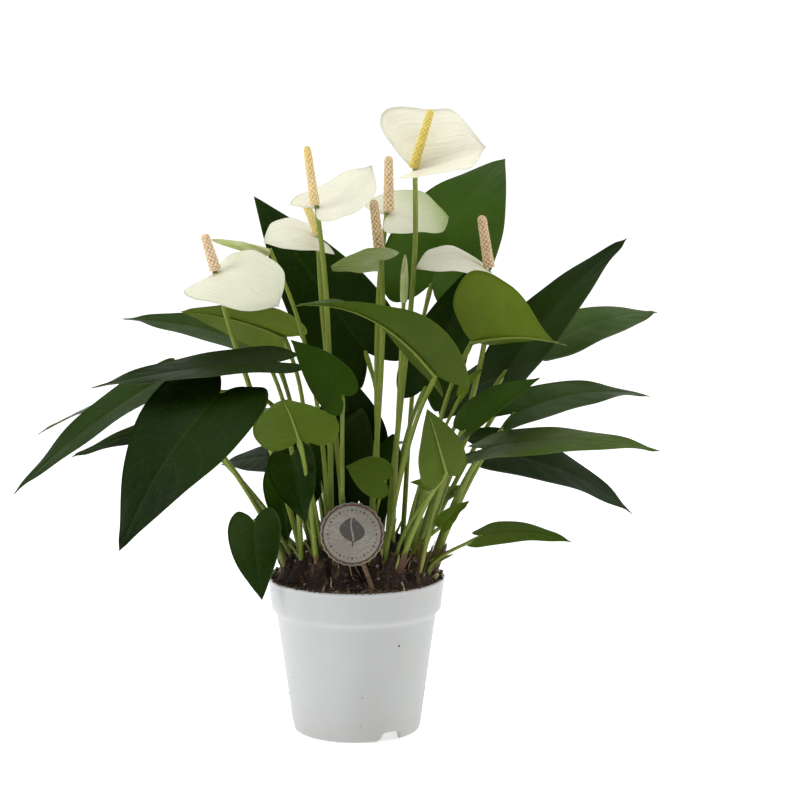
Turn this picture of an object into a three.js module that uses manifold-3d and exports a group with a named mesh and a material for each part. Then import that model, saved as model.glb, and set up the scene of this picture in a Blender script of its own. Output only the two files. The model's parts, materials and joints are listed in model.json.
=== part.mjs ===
// Potted anthurium: a white nursery pot of potting mix, with a plant label on a pick, and a plant of
// heart-shaped leaves on long petioles, open flowers (a stalk, a white spathe and a spadix each) and buds.
//
// Millimetres, +Z up. The origin is on the ground, at the centre of the pot's foot; the front is -Y.
// Every grown piece is a closed solid swept through rings of eight points, from a pole at its foot to a
// pole at its tip, so a petiole runs on into its blade without a joint, as it grows.

import * as THREE from "three";
import { mergeVertices } from "three/addons/utils/BufferGeometryUtils.js";
import Module from "manifold-3d";

const wasm = await Module();
wasm.setup();

// ---------------------------------------------------------------- driving dimensions

const POT_TOP_RADIUS = 60; // the trade size: a 12 cm pot
const POT_HEIGHT = 105.5;
const POT_FOOT_RADIUS = 43.5;
const POT_WALL = 1.2;
const POT_FLOOR = 7; // underside of the floor, above the foot ring
const PAD_RADIUS = 13; // the middle of the floor dips to the ground as a flat pad
const RIM_BAND = 22; // height of the wide band under the rim
const SEGMENTS = 48;

const SOIL_EDGE = 102; // level of the mix at the wall
const SOIL_MOUND = 7; // how much higher it stands in the middle
const FIT = 0.4; // gap between touching pieces

const RING = 8; // points round each section
const PETIOLE_RINGS = 7;
const FOOT_DEPTH = 6; // how deep a petiole or stalk stands in the mix
const COLLAR = 2; // each one leaves the mix upright, and starts to lean this far above it
const PETIOLE_FOOT_RADIUS = 2.3;
const PETIOLE_NECK_RADIUS = 1.7;
const STALK_FOOT_RADIUS = 2.5;
const STALK_TOP_RADIUS = 2.0;
const BLADE_THICKNESS = 0.9;
const SPATHE_THICKNESS = 1.0;

const LABEL_RADIUS = 21.5;
const LABEL_THICKNESS = 1.2;

// ---------------------------------------------------------------- colours

const material = (color, roughness) =>
  new THREE.MeshStandardMaterial({ color, roughness, metalness: 0 });

const WHITE_PLASTIC = material(0xe9ebe8, 0.45);
const POTTING_MIX = material(0x1d120c, 0.95);
const CARD = material(0xc9c1ae, 0.7);
const WOOD = material(0xa98a5e, 0.7);
const DARK_LEAF = material(0x17300f, 0.35);
const YOUNG_LEAF = material(0x4a7a18, 0.4);
const STALK_GREEN = material(0x6f9a2c, 0.45);
const SPATHE_WHITE = material(0xf3f1e2, 0.35);
const SPADIX_CREAM = material(0xd9bd8a, 0.6);
const BUD_GREEN = material(0x8f9a4e, 0.5);

// ---------------------------------------------------------------- solids

const v3 = (p) => new THREE.Vector3(...p);

// BufferGeometry to manifold solid, and back.
function solid(geometry) {
  const bare = geometry.clone();
  bare.deleteAttribute("normal");
  bare.deleteAttribute("uv");
  const merged = mergeVertices(bare, 1e-3);
  return new wasm.Manifold(
    new wasm.Mesh({
      numProp: 3,
      vertProperties: merged.attributes.position.array,
      triVerts: new Uint32Array(merged.index.array),
    }),
  );
}

function geometryOf(manifold) {
  const mesh = manifold.getMesh();
  return new THREE.BufferGeometry()
    .setAttribute("position", new THREE.BufferAttribute(mesh.vertProperties, 3))
    .setIndex(new THREE.BufferAttribute(mesh.triVerts, 1));
}

function meshOf(name, geometry, look) {
  const mesh = new THREE.Mesh(geometry, look);
  mesh.name = name;
  return mesh;
}

// A closed solid through rings of RING points each, with one point closing each end. The two halves of
// the way round are split along mirrored diagonals, so a warped blade's two sides stay parallel.
function sweep(firstPole, rings, lastPole) {
  const points = [firstPole, ...rings.flat(), lastPole];
  const index = [];
  const at = (ring, j) => 1 + ring * RING + (j % RING);
  const last = points.length - 1;
  for (let j = 0; j < RING; j++) {
    index.push(0, at(0, j + 1), at(0, j));
    index.push(last, at(rings.length - 1, j), at(rings.length - 1, j + 1));
    for (let i = 0; i + 1 < rings.length; i++) {
      const [a, b, c, d] = [at(i, j), at(i, j + 1), at(i + 1, j + 1), at(i + 1, j)];
      if (j < RING / 2) index.push(a, b, c, a, c, d);
      else index.push(a, b, d, b, c, d);
    }
  }
  return new THREE.BufferGeometry().setFromPoints(points).setIndex(index);
}

// A round section: point 0 is on the left, point 2 on the upper side, point 4 on the right.
function roundRing(centre, tangent, side, radius) {
  const across = side.clone().addScaledVector(tangent, -side.dot(tangent)).normalize();
  const upper = new THREE.Vector3().crossVectors(across, tangent);
  return Array.from({ length: RING }, (_, j) => {
    const angle = Math.PI - (2 * Math.PI * j) / RING;
    return centre
      .clone()
      .addScaledVector(across, radius * Math.cos(angle))
      .addScaledVector(upper, radius * Math.sin(angle));
  });
}

// The rings of a stem that rises from the mix at foot and arrives at end, thinning on the way.
function stemRings(foot, end, arrive, side, footRadius, endRadius, count, bow, lean, rise = 0.36) {
  const start = v3([foot[0], foot[1], soilLevel(Math.hypot(...foot)) + COLLAR]);
  const buried = start.clone().setZ(start.z - COLLAR - FOOT_DEPTH);
  const upright = new THREE.Vector3(0, 0, 1);
  const chord = end.clone().sub(start);
  const reach = chord.length();
  const leave = (lean ? v3(lean) : chord.normalize().lerp(upright, bow)).normalize();
  const curve = new THREE.CubicBezierCurve3(
    start,
    start.clone().addScaledVector(leave, reach * rise),
    end.clone().addScaledVector(arrive, -reach * 0.3),
    end,
  );
  const rings = [roundRing(buried, upright, side, footRadius)];
  for (let i = 0; i + 1 < count; i++) {
    const t = i / (count - 2);
    const radius = THREE.MathUtils.lerp(footRadius, endRadius, Math.pow(t, 0.7));
    rings.push(roundRing(curve.getPoint(t), curve.getTangent(t), side, radius));
  }
  return { pole: buried.addScaledVector(upright, -0.8), rings };
}

// ---------------------------------------------------------------- blades

// Each line across half a blade starts on the midrib, at rib, and ends on the margin, at edge. Lengths
// along the midrib are shares of the blade's length, and half-widths are shares of its width.
const LEAF_LINES = [
  { rib: 0.03, edge: [-0.09, 0.12] },
  { rib: 0.08, edge: [-0.14, 0.29] },
  { rib: 0.16, edge: [-0.05, 0.44] },
  { rib: 0.28, edge: [0.12, 0.5] },
  { rib: 0.44, edge: [0.35, 0.46] },
  { rib: 0.62, edge: [0.58, 0.34] },
  { rib: 0.8, edge: [0.78, 0.19] },
  { rib: 0.93, edge: [0.925, 0.065] },
];
const SPATHE_LINES = [
  { rib: 0.04, edge: [-0.1, 0.14] },
  { rib: 0.1, edge: [-0.17, 0.33] },
  { rib: 0.2, edge: [-0.06, 0.46] },
  { rib: 0.36, edge: [0.18, 0.51] },
  { rib: 0.54, edge: [0.45, 0.46] },
  { rib: 0.72, edge: [0.69, 0.33] },
  { rib: 0.89, edge: [0.88, 0.15] },
];
const ACROSS = [-1, -0.5, 0, 0.5, 1];

// The rings of a blade from neck to tip. face is roughly where its upper side looks. arch lifts the
// middle of the midrib, curl lifts its outer end, fold raises the margins and twist turns the tip.
function bladeRings({ neck, tip, face, width, arch = 0, curl = 0, fold = 0, twist = 0 }, lines, thick) {
  const from = v3(neck);
  const along = v3(tip).sub(from);
  const length = along.length();
  along.normalize();
  const facing = v3(face);
  const up = facing.addScaledVector(along, -facing.dot(along)).normalize();
  const side = new THREE.Vector3().crossVectors(along, up);
  const place = (x, y, level) => {
    const turn = twist * THREE.MathUtils.clamp(x, 0, 1);
    const bend = length * (arch * 4 * x * (1 - x) + curl * (x * x * x - x));
    const rise = bend + fold * width * Math.abs(y) * 2 * (1 - 0.5 * Math.max(x, 0));
    const across = side.clone().applyAxisAngle(along, turn);
    const over = up.clone().applyAxisAngle(along, turn);
    return from
      .clone()
      .addScaledVector(along, length * x)
      .addScaledVector(across, width * y)
      .addScaledVector(over, rise - bend + level)
      .addScaledVector(up, bend);
  };
  const rings = lines.map(({ rib, edge }) => {
    const point = (share, level) =>
      place(
        THREE.MathUtils.lerp(rib, edge[0], Math.abs(share)),
        share * edge[1],
        level * (1 - Math.abs(share)) * 2,
      );
    const upper = ACROSS.map((share) => point(share, thick / 2));
    const lower = ACROSS.slice(1, -1).reverse().map((share) => point(share, -thick / 2));
    return [...upper, ...lower];
  });
  return { rings, pole: v3(tip), along, up, side, length };
}

// A leaf: its petiole and its blade, in one piece.
function leaf(spec) {
  const blade = bladeRings(spec, LEAF_LINES, BLADE_THICKNESS);
  const neck = v3(spec.neck);
  const outward = v3([spec.neck[0] - spec.foot[0], spec.neck[1] - spec.foot[1], 0]);
  const chord = neck.clone().sub(v3([...spec.foot, SOIL_EDGE])).normalize();
  const arrive = spec.arrive ? v3(spec.arrive) : chord.multiplyScalar(0.75);
  arrive.addScaledVector(outward.normalize(), spec.arrive ? 0 : 0.25).normalize();
  const petiole = stemRings(
    spec.foot,
    neck,
    arrive,
    blade.side,
    (spec.thick ?? 1) * PETIOLE_FOOT_RADIUS,
    (spec.thick ?? 1) * PETIOLE_NECK_RADIUS,
    PETIOLE_RINGS,
    spec.bow ?? 0.25,
    spec.leave,
    spec.rise,
  );
  return sweep(petiole.pole, [...petiole.rings, ...blade.rings], blade.pole);
}

// ---------------------------------------------------------------- pot, mix and label

function pot() {
  const top = POT_TOP_RADIUS;
  const bandFoot = POT_HEIGHT - RIM_BAND;
  const shoulder = bandFoot - 4.5;
  const wall = POT_WALL;
  const profile = [
    [POT_FOOT_RADIUS - 3.4, 0],
    [POT_FOOT_RADIUS - 1.8, 0],
    [POT_FOOT_RADIUS - 0.5, 1.1],
    [POT_FOOT_RADIUS, 3.2],
    [53.9, shoulder],
    [57.3, bandFoot],
    [top - 0.5, POT_HEIGHT - 1.5],
    [top, POT_HEIGHT - 0.9],
    [top, POT_HEIGHT],
    [top - 2 * wall, POT_HEIGHT],
    [top - 2 * wall, POT_HEIGHT - 1.2],
    [57.3 - wall, bandFoot + 0.6],
    [53.9 - wall, shoulder + 0.6],
    [POT_FOOT_RADIUS - wall + 0.4, POT_FLOOR + wall],
    [PAD_RADIUS + 5, POT_FLOOR + wall],
    [PAD_RADIUS, wall],
    [0, wall],
    [0, 0],
    [PAD_RADIUS + 0.6, 0],
    [PAD_RADIUS + 5.6, POT_FLOOR],
    [POT_FOOT_RADIUS - 3, POT_FLOOR],
  ];
  let shape = solid(lathe([...profile, profile[0]]));
  // Arched gaps in the foot ring let the water out, and holes beside them drain the floor.
  const gaps = 3;
  for (let i = 0; i < gaps; i++) {
    const angle = THREE.MathUtils.degToRad(-57 + (360 * i) / gaps);
    shape = shape.subtract(solid(footGap(angle))).subtract(solid(drainHole(angle)));
  }
  return geometryOf(shape);
}

function lathe(profile, segments = SEGMENTS) {
  const points = profile.map(([radius, z]) => new THREE.Vector2(radius, z));
  return new THREE.LatheGeometry(points, segments).rotateX(Math.PI / 2);
}

function footGap(angle) {
  const half = 8;
  const height = 6.3;
  const arch = new THREE.Shape()
    .moveTo(-half, -1)
    .lineTo(half, -1)
    .lineTo(half - 1.5, height - 1.5)
    .lineTo(half - 4, height)
    .lineTo(4 - half, height)
    .lineTo(1.5 - half, height - 1.5);
  return new THREE.ExtrudeGeometry(arch, { depth: 14, bevelEnabled: false })
    .rotateX(Math.PI / 2)
    .translate(0, POT_FOOT_RADIUS + 4, 0)
    .rotateZ(angle - Math.PI / 2);
}

function drainHole(angle) {
  return new THREE.CylinderGeometry(4, 4, 6, 12)
    .rotateX(Math.PI / 2)
    .translate(30 * Math.cos(angle), 30 * Math.sin(angle), POT_FLOOR);
}

// Height of the mix at a distance from the pot's axis.
function soilLevel(radius) {
  const share = Math.min(radius / (POT_TOP_RADIUS - 4), 1);
  return SOIL_EDGE + SOIL_MOUND * (1 - share * share);
}

function soil(sockets) {
  const inner = POT_WALL + FIT;
  const bandFoot = POT_HEIGHT - RIM_BAND;
  const edge = POT_TOP_RADIUS - 2 * POT_WALL - FIT - 0.3;
  const surface = [edge, 48, 34, 18].map((radius) => [radius, soilLevel(radius)]);
  const profile = [
    [0, inner],
    [PAD_RADIUS - FIT, inner],
    [PAD_RADIUS + 5 - FIT, POT_FLOOR + inner],
    [POT_FOOT_RADIUS - inner, POT_FLOOR + inner],
    [53.9 - inner - 0.2, bandFoot - 4],
    [57.3 - inner - 0.3, bandFoot + 1.2],
    [edge - 0.5, SOIL_EDGE - 3],
    ...surface,
    [0, soilLevel(0)],
  ];
  let shape = solid(lathe(profile));
  for (const { foot, radius } of sockets) {
    const bore = (radius + FIT) / Math.cos(Math.PI / RING);
    const depth = FOOT_DEPTH + 0.8 + FIT;
    const socket = new THREE.CylinderGeometry(bore, bore, depth + 4, RING)
      .rotateX(Math.PI / 2)
      .translate(foot[0], foot[1], soilLevel(Math.hypot(...foot)) + 2 - depth / 2);
    shape = shape.subtract(solid(socket));
  }
  return geometryOf(shape.subtract(solid(pick(FIT))));
}

// The label stands at the front, leaning back a little, with its pick askew behind it.
const LABEL = { centre: [-2, -43, 142.5], lean: -4, askew: 20, pickLength: 66 };

const placeLabel = (geometry) =>
  geometry
    .rotateX(Math.PI / 2 + THREE.MathUtils.degToRad(LABEL.lean))
    .translate(...LABEL.centre);

// A scalloped card disc that faces the front.
function labelDisc() {
  const scallops = 24;
  const outline = new THREE.Shape();
  for (let i = 0; i < scallops * 2; i++) {
    const angle = (Math.PI * i) / scallops;
    const radius = LABEL_RADIUS - (i % 2 ? 0.7 : 0);
    const point = [radius * Math.cos(angle), radius * Math.sin(angle)];
    if (i) outline.lineTo(...point);
    else outline.moveTo(...point);
  }
  return placeLabel(
    new THREE.ExtrudeGeometry(outline, { depth: LABEL_THICKNESS, bevelEnabled: false }),
  );
}

// The flat pick behind the disc, pushed into the mix; grow makes the slot it stands in.
function pick(grow) {
  return placeLabel(
    new THREE.BoxGeometry(3 + 2 * grow, LABEL.pickLength + 2 * grow, 1 + 2 * grow)
      .translate(0, 6 - LABEL.pickLength / 2, -0.5 - FIT)
      .rotateZ(THREE.MathUtils.degToRad(LABEL.askew)),
  );
}

// ---------------------------------------------------------------- the plant

// foot is where the petiole enters the mix, neck where it meets the blade.
const LEAVES = [
  {
    name: "leaf_back_top",
    foot: [30, 22], neck: [51, 51, 298], tip: [104, 120, 380],
    face: [-0.35, -0.8, 0.5], width: 84, fold: 0.05, arch: 0.12,
  },
  {
    name: "leaf_back_upright",
    foot: [10, 27], neck: [6, 45, 252], tip: [-71, 62, 358],
    face: [0.1, -1, 0.15], width: 64, fold: 0.06, arch: 0.05, arrive: [-0.4, 0.1, 0.9],
  },
  {
    name: "leaf_left_bright",
    foot: [-28, 0], neck: [-48, 4, 268], tip: [-115, -22, 288],
    face: [-0.1, 0.62, 0.78], width: 48, arch: 0.06, young: true,
  },
  {
    name: "leaf_left_silver",
    foot: [-26, 14], neck: [-65, 38, 256], tip: [-164, 78, 271],
    face: [-0.2, -0.25, 0.93], width: 42, fold: 0.1, arch: 0.05,
  },
  {
    name: "leaf_left_long",
    foot: [-26, -9], neck: [-50, -50, 258], tip: [-168, -84, 246],
    face: [-0.1, -0.3, 0.95], width: 44, arch: 0.03, fold: 0.05,
  },
  {
    name: "leaf_front_left_large",
    foot: [-36, -20], neck: [-86, -68, 241], tip: [-148, -120, 147],
    face: [-0.3, -0.88, 0.48], width: 74, arch: 0.1, fold: 0.03,
    leave: [-0.03, -0.1, 1], rise: 0.75, arrive: [-0.88, -0.3, 0.02],
  },
  {
    name: "leaf_left_slender",
    foot: [-43, 0], neck: [-133, 4, 238], tip: [-230, -10, 163],
    face: [-0.5, -0.45, 0.7], width: 40, arch: 0.04, fold: 0.06,
  },
  {
    name: "leaf_left_rear",
    foot: [-36, 26], neck: [-146, 46, 226], tip: [-224, 74, 190],
    face: [-0.3, 0, 0.95], width: 34, arch: 0.04,
  },
  {
    name: "leaf_left_low",
    foot: [-44, 12], neck: [-110, 20, 206], tip: [-195, 26, 182],
    face: [-0.3, -0.3, 0.9], width: 36, arch: 0.05,
  },
  {
    name: "leaf_left_shade",
    foot: [-28, 32], neck: [-50, 50, 178], tip: [-96, 76, 168],
    face: [-0.2, -0.4, 0.9], width: 36, arch: 0.05,
  },
  {
    name: "leaf_heart_low",
    foot: [-45, -12], neck: [-68, -24, 148], tip: [-62, -40, 97],
    face: [-0.3, -0.95, 0.25], width: 38, arch: 0.05, arrive: [-0.7, -0.5, 0.5], thick: 0.85,
  },
  {
    name: "leaf_centre_pale",
    foot: [-25, -26], neck: [-36, -62, 209], tip: [-44, -120, 244],
    face: [-0.1, 0.5, 0.85], width: 50, arch: 0.05, young: true,
  },
  {
    name: "leaf_centre_small",
    foot: [-9, -26], neck: [-8, -50, 236], tip: [-41, -66, 275],
    face: [0.2, -0.85, 0.5], width: 34, arch: 0.03,
  },
  {
    name: "leaf_centre_arching",
    foot: [16, -20], neck: [53, -55, 250], tip: [-37, -115, 302],
    face: [0.1, 0.6, 0.8], width: 44, arch: 0.15, fold: 0.3, twist: -0.6, young: true,
  },
  {
    name: "leaf_back_right_dark",
    foot: [18, 32], neck: [47, 15, 232], tip: [80, 22, 316],
    face: [-0.2, -0.95, 0.25], width: 44, arch: 0.03, fold: 0.1,
  },
  {
    name: "leaf_right_bright",
    foot: [36, -12], neck: [77, -25, 268], tip: [127, -100, 278],
    face: [0.57, 0.4, 0.71], width: 70, arch: 0.05, fold: 0.45, young: true,
  },
  {
    name: "leaf_right_pointed",
    foot: [42, 18], neck: [102, 30, 241], tip: [186, 62, 329],
    face: [-0.6, -0.6, 0.5], width: 52, arch: 0.05, fold: 0.06,
  },
  {
    name: "leaf_right_rear",
    foot: [40, 28], neck: [133, 66, 255], tip: [212, 108, 272],
    face: [0.05, -0.3, 0.95], width: 46, arch: 0.07,
  },
  {
    name: "leaf_right_broad",
    foot: [50, 2], neck: [106, -16, 219], tip: [201, 40, 222],
    face: [0.08, -0.28, 0.95], width: 43, arch: 0.08, fold: 0.05,
  },
  {
    name: "leaf_right_folded",
    foot: [41, -26], neck: [73, -40, 211], tip: [120, -72, 251],
    face: [-0.35, -0.5, 0.8], width: 38, arch: 0.02, fold: 0.18,
  },
  {
    name: "leaf_right_long",
    foot: [51, -11], neck: [86, -36, 199], tip: [198, -72, 203],
    face: [0, -0.3, 0.95], width: 44, arch: 0.06, young: true,
  },
  {
    name: "leaf_right_drooping",
    foot: [49, 14], neck: [87, 22, 188], tip: [190, 40, 140],
    face: [0.25, -0.5, 0.85], width: 46, arch: 0.09, fold: 0.05,
  },
  {
    name: "leaf_right_low",
    foot: [46, -19], neck: [84, -32, 139], tip: [143, -48, 138],
    face: [0, -0.45, 0.9], width: 26, arch: 0.09, thick: 0.75, bow: 0.8, young: true,
  },
  {
    name: "leaf_front_small",
    foot: [26, -32], neck: [59, -64, 187], tip: [47, -80, 232],
    face: [0.35, -0.9, 0.25], width: 36, arch: 0.02,
  },
  {
    name: "leaf_crown_small",
    foot: [6, -14], neck: [20, -42, 178], tip: [-6, -54, 190],
    face: [-0.1, -0.9, 0.4], width: 26, thick: 0.7, young: true,
  },
  {
    name: "leaf_shade_left",
    foot: [-10, 16], neck: [-5, 33, 184], tip: [-8, 34, 240],
    face: [0, -1, 0.1], width: 54, fold: 0.05,
  },
  {
    name: "leaf_shade_right",
    foot: [32, 34], neck: [74, 76, 206], tip: [104, 136, 240],
    face: [-0.1, -0.6, 0.75], width: 40, arch: 0.04,
  },
  {
    name: "leaf_rear_left",
    foot: [-20, 37], neck: [-38, 92, 205], tip: [-62, 170, 178],
    face: [-0.1, 0.4, 0.9], width: 60, arch: 0.08,
  },
  {
    name: "leaf_rear_centre",
    foot: [4, 40], neck: [8, 100, 180], tip: [4, 176, 150],
    face: [0, 0.4, 0.9], width: 52, arch: 0.08,
  },
];

// base is where the stalk meets the spathe; the spathe runs from there to tip.
const FLOWERS = [
  {
    name: "flower_top", foot: [20, 4], base: [39, -12, 380], spadixTip: [50, -24, 421],
    tip: [86, -14, 396], face: [-0.05, -0.61, 0.79], width: 64, fold: 0.4, arch: -0.03,
  },
  {
    name: "flower_left_high", foot: [-16, -14], base: [-25, -34, 357], spadixTip: [-31, -36, 398],
    tip: [11, -14, 384], face: [-0.3, -0.5, 0.8], width: 48, arch: -0.05, curl: 0.15,
  },
  {
    name: "flower_left_back", foot: [-6, 6], base: [-25, 8, 334], spadixTip: [-36, 5, 364],
    tip: [-61, -6, 332], face: [-0.1, -0.45, 0.88], width: 46, arch: 0.12,
  },
  {
    name: "flower_left_low", foot: [-34, -8], base: [-90, -48, 316], spadixTip: [-97, -52, 342],
    tip: [-48, -72, 297], face: [0.1, -0.6, 0.8], width: 60, arch: 0.12, arrive: [-0.15, -0.45, 0.9],
  },
  {
    name: "flower_centre_high", foot: [14, 15], base: [21, 24, 348], spadixTip: [22, 24, 388],
    tip: [63, 54, 344], face: [0.1, -0.55, 0.83], width: 42, arch: 0.08, twist: 0.4,
  },
  {
    name: "flower_centre", foot: [9, -2], base: [17, -6, 320], spadixTip: [12, -8, 361],
    tip: [-16, -22, 318], face: [-0.1, 0.42, 0.9], width: 46, arch: 0.06,
  },
  {
    name: "flower_right", foot: [38, 8], base: [89, 12, 311], spadixTip: [84, 10, 349],
    tip: [40, -10, 315], face: [0.05, -0.35, 0.95], width: 44, arch: 0.15,
    leave: [0.32, 0.02, 0.94], arrive: [-0.08, 0, 1],
  },
];

// Young flowers, still rolled up in their spathes.
const BUDS = [
  {
    name: "bud_left", foot: [-18, -22], base: [-56, -22, 327], tip: [-94, -28, 336],
    radius: 3.2, bow: 1, arrive: [-0.45, 0.05, 0.89],
  },
  {
    name: "bud_centre", foot: [24, -8], base: [32, -14, 293], tip: [33, -14, 325],
    radius: 2.8, bow: 0.3, arrive: [0.05, 0, 1],
  },
];

const SPADIX_RADII = [2.4, 3.1, 3.2, 3.0, 2.7, 2.2];
const BUD_SHARES = [0.45, 0.85, 1, 0.9, 0.65, 0.35];
const STALK_RINGS = 7;

// A spindle along a straight axis, with the given radii at even steps.
function spindle(start, end, radii) {
  const axis = end.clone().sub(start).normalize();
  const side = new THREE.Vector3(0, 1, 0.3).cross(axis);
  const rings = radii.map((radius, i) =>
    roundRing(start.clone().lerp(end, (i + 0.4) / radii.length), axis, side, radius),
  );
  return sweep(start, rings, end);
}

function flower(spec) {
  const spathe = bladeRings({ ...spec, neck: spec.base }, SPATHE_LINES, SPATHE_THICKNESS);
  const base = v3(spec.base);
  const off = SPATHE_THICKNESS + FIT;
  const stalkEnd = base.clone().addScaledVector(spathe.up, -off - 0.6);
  const chord = stalkEnd.clone().sub(v3([...spec.foot, SOIL_EDGE])).normalize();
  const arrive = (spec.arrive ? v3(spec.arrive) : chord.lerp(spathe.up, 0.35)).normalize();
  const stalk = stemRings(
    spec.foot, stalkEnd, arrive, spathe.side,
    STALK_FOOT_RADIUS, STALK_TOP_RADIUS, STALK_RINGS, 0.3, spec.leave,
  );
  const spadixStart = base.clone().addScaledVector(spathe.up, off + 1.2);
  return [
    meshOf(spec.name + "_stalk", sweep(stalk.pole, stalk.rings, stalkEnd.clone().addScaledVector(arrive, 0.5)), STALK_GREEN),
    meshOf(spec.name + "_spathe", sweep(base, spathe.rings, spathe.pole), SPATHE_WHITE),
    meshOf(spec.name + "_spadix", spindle(spadixStart, v3(spec.spadixTip), SPADIX_RADII), SPADIX_CREAM),
  ];
}

function bud(spec) {
  const base = v3(spec.base);
  const tip = v3(spec.tip);
  const axis = tip.clone().sub(base).normalize();
  const stalkEnd = base.clone().addScaledVector(axis, -FIT - 0.6);
  const arrive = v3(spec.arrive).normalize();
  const stalk = stemRings(
    spec.foot, stalkEnd, arrive, new THREE.Vector3(1, 0, 0),
    STALK_FOOT_RADIUS * 0.8, STALK_TOP_RADIUS * 0.8, STALK_RINGS, spec.bow,
  );
  return [
    meshOf(spec.name + "_stalk", sweep(stalk.pole, stalk.rings, stalkEnd.clone().addScaledVector(arrive, 0.4)), STALK_GREEN),
    meshOf(spec.name, spindle(base, tip, BUD_SHARES.map((share) => share * spec.radius)), BUD_GREEN),
  ];
}

// ---------------------------------------------------------------- assembly

const stemRadius = (spec, radius) => ({ foot: spec.foot, radius: radius * (spec.thick ?? 1) });
const sockets = [
  ...LEAVES.map((spec) => stemRadius(spec, PETIOLE_FOOT_RADIUS)),
  ...FLOWERS.map((spec) => stemRadius(spec, STALK_FOOT_RADIUS)),
  ...BUDS.map((spec) => stemRadius(spec, STALK_FOOT_RADIUS * 0.8)),
];

const plant = new THREE.Group();
plant.add(meshOf("pot", pot(), WHITE_PLASTIC));
plant.add(meshOf("potting_mix", soil(sockets), POTTING_MIX));
plant.add(meshOf("label_disc", labelDisc(), CARD));
plant.add(meshOf("label_pick", pick(0), WOOD));
for (const spec of LEAVES) plant.add(meshOf(spec.name, leaf(spec), spec.young ? YOUNG_LEAF : DARK_LEAF));
for (const spec of FLOWERS) plant.add(...flower(spec));
for (const spec of BUDS) plant.add(...bud(spec));

export default plant;
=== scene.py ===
import json
import math
import random

import bmesh
import bpy
import numpy as np
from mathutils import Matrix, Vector, noise


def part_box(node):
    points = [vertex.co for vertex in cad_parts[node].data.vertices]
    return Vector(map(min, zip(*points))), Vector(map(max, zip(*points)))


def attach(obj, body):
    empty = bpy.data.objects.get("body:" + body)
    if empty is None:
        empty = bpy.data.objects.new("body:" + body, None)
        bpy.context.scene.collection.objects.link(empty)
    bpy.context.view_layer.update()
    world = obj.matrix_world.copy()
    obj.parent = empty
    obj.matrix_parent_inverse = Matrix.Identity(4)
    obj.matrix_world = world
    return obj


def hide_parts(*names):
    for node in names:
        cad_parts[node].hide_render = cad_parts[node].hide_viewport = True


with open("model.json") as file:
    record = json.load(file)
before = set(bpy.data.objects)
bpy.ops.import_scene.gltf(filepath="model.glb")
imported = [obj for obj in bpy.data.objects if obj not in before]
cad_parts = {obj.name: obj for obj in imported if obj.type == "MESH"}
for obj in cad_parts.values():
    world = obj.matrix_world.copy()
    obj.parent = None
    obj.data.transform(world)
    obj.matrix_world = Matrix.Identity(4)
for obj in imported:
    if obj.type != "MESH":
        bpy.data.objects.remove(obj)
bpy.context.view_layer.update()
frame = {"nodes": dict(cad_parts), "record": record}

NODES = frame["nodes"]
MM = 0.001
RING = 8  # points in each section of a grown CAD node
UPPER = Vector((0, -0.1, 1))  # the upper side of every blade looks this way, more or less
SOIL_LO, SOIL_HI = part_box("potting_mix")
# In the mix, under the middle of the plant: the nearest pole of a leaf or stalk is its foot.
CROWN = Vector(((SOIL_LO.x + SOIL_HI.x) / 2, (SOIL_LO.y + SOIL_HI.y) / 2, SOIL_HI.z))

scene = bpy.context.scene
scene.view_settings.view_transform = "Standard"


# -------- reading the grown nodes


def welded(name):
    """A CAD node's mesh with its faces joined at their corners. The caller frees it."""
    shape = bmesh.new()
    shape.from_mesh(NODES[name].data)
    bmesh.ops.remove_doubles(shape, verts=shape.verts, dist=1e-5)
    return shape


def sections(name, start_near):
    """The rings of a grown node, in order: (first pole, [8 points per ring], last pole).

    Each ring's points turn right-handed about the way the node grows."""
    shape = welded(name)
    poles = [v for v in shape.verts if len(v.link_edges) == RING]
    poles.sort(key=lambda v: (v.co - start_near).length)
    first, last = poles[0], poles[-1]
    seen = {first}
    level = [first]
    rings = []
    while True:
        following = {e.other_vert(v) for v in level for e in v.link_edges} - seen
        seen |= following
        if last in following or not following:
            break
        rings.append(walk(following))
        level = list(following)
    points = [[v.co.copy() for v in ring] for ring in rings]
    ends = points[1:] + [[last.co.copy()] * RING]
    for ring, after in zip(points, ends):
        onward = middle(after) - middle(ring)
        turn = sum(
            ((ring[k] - middle(ring)).cross(ring[(k + 1) % RING] - middle(ring)) for k in range(RING)),
            Vector(),
        )
        if turn.dot(onward) < 0:
            ring.reverse()
    result = (first.co.copy(), points, last.co.copy())
    shape.free()
    return result


def walk(verts):
    """The vertices of one ring, in order round it."""
    here = min(verts, key=lambda v: v.index)
    order = [here]
    while len(order) < len(verts):
        step = [e.other_vert(here) for e in here.link_edges]
        step = [v for v in step if v in verts and v not in order]
        here = min(step, key=lambda v: v.index)
        order.append(here)
    return order


def middle(points):
    return sum(points, Vector()) / len(points)


def mean_radius(ring):
    return sum((p - middle(ring)).length for p in ring) / len(ring)


def longest_chord(ring):
    """The longest line across a ring, and the number of the point it starts from."""
    k = max(range(RING // 2), key=lambda k: (ring[k + RING // 2] - ring[k]).length_squared)
    return ring[k + RING // 2] - ring[k], k


def blade_rows(rings, tip):
    """Each blade ring as five points from its left margin over the midrib to its right margin.

    They lie halfway between the upper and the lower side. Left and right are seen from the foot of
    the blade with the upper side up."""
    wide = max(rings, key=lambda ring: longest_chord(ring)[0].length)
    side, _ = longest_chord(wide)
    if side.cross(tip - middle(wide)).dot(UPPER) < 0:
        side = -side
    rows = []
    for ring in rings:
        chord, k = longest_chord(ring)
        if chord.dot(side) < 0:
            k += RING // 2
        p = [ring[(k + n) % RING] for n in range(RING)]
        rows.append([p[0], (p[1] + p[7]) / 2, (p[2] + p[6]) / 2, (p[3] + p[5]) / 2, p[4]])
    return rows


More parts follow.
